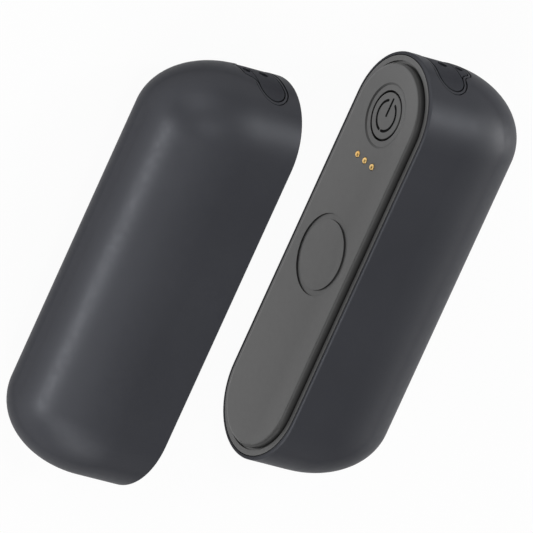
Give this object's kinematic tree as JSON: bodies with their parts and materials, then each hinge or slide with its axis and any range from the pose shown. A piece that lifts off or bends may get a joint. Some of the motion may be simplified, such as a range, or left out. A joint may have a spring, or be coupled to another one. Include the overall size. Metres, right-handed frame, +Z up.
{
  "type": "rechargeable hand warmer",
  "caption": "Magnetic two-in-one pocket hand warmer: matching stadium-shaped pods with flat mating faces, power buttons, charging contacts and covered ports, lying apart.",
  "frame": {"origin": "middle of the pair on the surface that both pods lie on", "axes": "+Z up, +Y along the pods towards their port ends, +X from the left pod to the right pod, square to the mating faces"},
  "size_m": [0.0986, 0.12, 0.033],
  "materials": {
    "soft_touch_shell": "soft-touch anthracite",
    "face_grey": "satin grey",
    "gold_contact": "gold plated",
    "cover_rubber": "matte silicone",
    "black_plastic": "moulded",
    "frame_plastic": "natural moulded",
    "circuit_board": "solder mask",
    "component_grey": "moulded",
    "cell_wrap": "shrink-wrapped cell of about its real density",
    "nickel": "nickel strip",
    "steel": "zinc plated",
    "magnet_plating": "nickel plated",
    "film_amber": "polyimide film",
    "foam": "closed-cell foam"
  },
  "bodies": {
    "right_pod": {"right_board_components": "component_grey", "right_cell": "cell_wrap", "right_cell_cradle": "frame_plastic", "right_contact_block": "black_plastic", "right_contact_spring_a": "steel", "right_contact_spring_b": "steel", "right_contact_spring_c": "steel", "right_control_board": "circuit_board", "right_cover_anchor": "cover_rubber", "right_cradle_screws": "steel", "right_face_plate": "face_grey", "right_foam_pad": "foam", "right_heater_film": "film_amber", "right_heater_tail": "film_amber", "right_magnet": "magnet_plating", "right_magnet_yoke": "steel", "right_shell": "soft_touch_shell", "right_tab_negative": "nickel", "right_tab_positive": "nickel", "right_tact_switch": "black_plastic", "right_thermistor": "component_grey", "right_usb_shell": "steel", "right_usb_tongue": "black_plastic"},
    "left_pod": {"left_board_components": "component_grey", "left_cell": "cell_wrap", "left_cell_cradle": "frame_plastic", "left_contact_block": "black_plastic", "left_contact_pads": "gold_contact", "left_control_board": "circuit_board", "left_cover_anchor": "cover_rubber", "left_cradle_screws": "steel", "left_face_plate": "face_grey", "left_foam_pad": "foam", "left_heater_film": "film_amber", "left_heater_tail": "film_amber", "left_magnet": "magnet_plating", "left_magnet_yoke": "steel", "left_shell": "soft_touch_shell", "left_tab_negative": "nickel", "left_tab_positive": "nickel", "left_tact_switch": "black_plastic", "left_thermistor": "component_grey", "left_usb_shell": "steel", "left_usb_tongue": "black_plastic"},
    "right_button": {"right_power_button": "face_grey", "right_switch_plunger": "black_plastic"},
    "left_button": {"left_power_button": "face_grey", "left_switch_plunger": "black_plastic"},
    "right_cover": {"right_port_cover": "cover_rubber"},
    "left_cover": {"left_port_cover": "cover_rubber"},
    "pin_a": {"right_contact_pin_a": "gold_contact"},
    "pin_b": {"right_contact_pin_b": "gold_contact"},
    "pin_c": {"right_contact_pin_c": "gold_contact"}
  },
  "joints": [
    {"name": "pod_close", "type": "slide", "parent": "right_pod", "child": "left_pod", "axis": [0.8938, 0.4485, 0], "range_m": [0, 0.03122]},
    {"name": "right_button_press", "type": "slide", "parent": "right_pod", "child": "right_button", "axis": [1, 0, 0], "range_m": [0, 0.0005], "stiffness_N_per_m": 3000},
    {"name": "left_button_press", "type": "slide", "parent": "left_pod", "child": "left_button", "axis": [-1, 0, 0], "range_m": [0, 0.0005], "stiffness_N_per_m": 3000},
    {"name": "pin_a_press", "type": "slide", "parent": "right_pod", "child": "pin_a", "axis": [1, 0, 0], "range_m": [0, 0.00045], "stiffness_N_per_m": 1300, "deforming": ["right_contact_spring_a"]},
    {"name": "pin_b_press", "type": "slide", "parent": "right_pod", "child": "pin_b", "axis": [1, 0, 0], "range_m": [0, 0.00045], "stiffness_N_per_m": 1300, "deforming": ["right_contact_spring_b"]},
    {"name": "pin_c_press", "type": "slide", "parent": "right_pod", "child": "pin_c", "axis": [1, 0, 0], "range_m": [0, 0.00045], "stiffness_N_per_m": 1300, "deforming": ["right_contact_spring_c"]},
    {"name": "right_cover_open", "type": "hinge", "parent": "right_pod", "child": "right_cover", "pos_m": [0.0262, 0.0599, 0.0165], "axis": [0, 0, -1], "range_deg": [0, 120]},
    {"name": "left_cover_open", "type": "hinge", "parent": "left_pod", "child": "left_cover", "pos_m": [-0.0262, 0.0459, 0.0165], "axis": [0, 0, 1], "range_deg": [0, 120]}
  ]
}
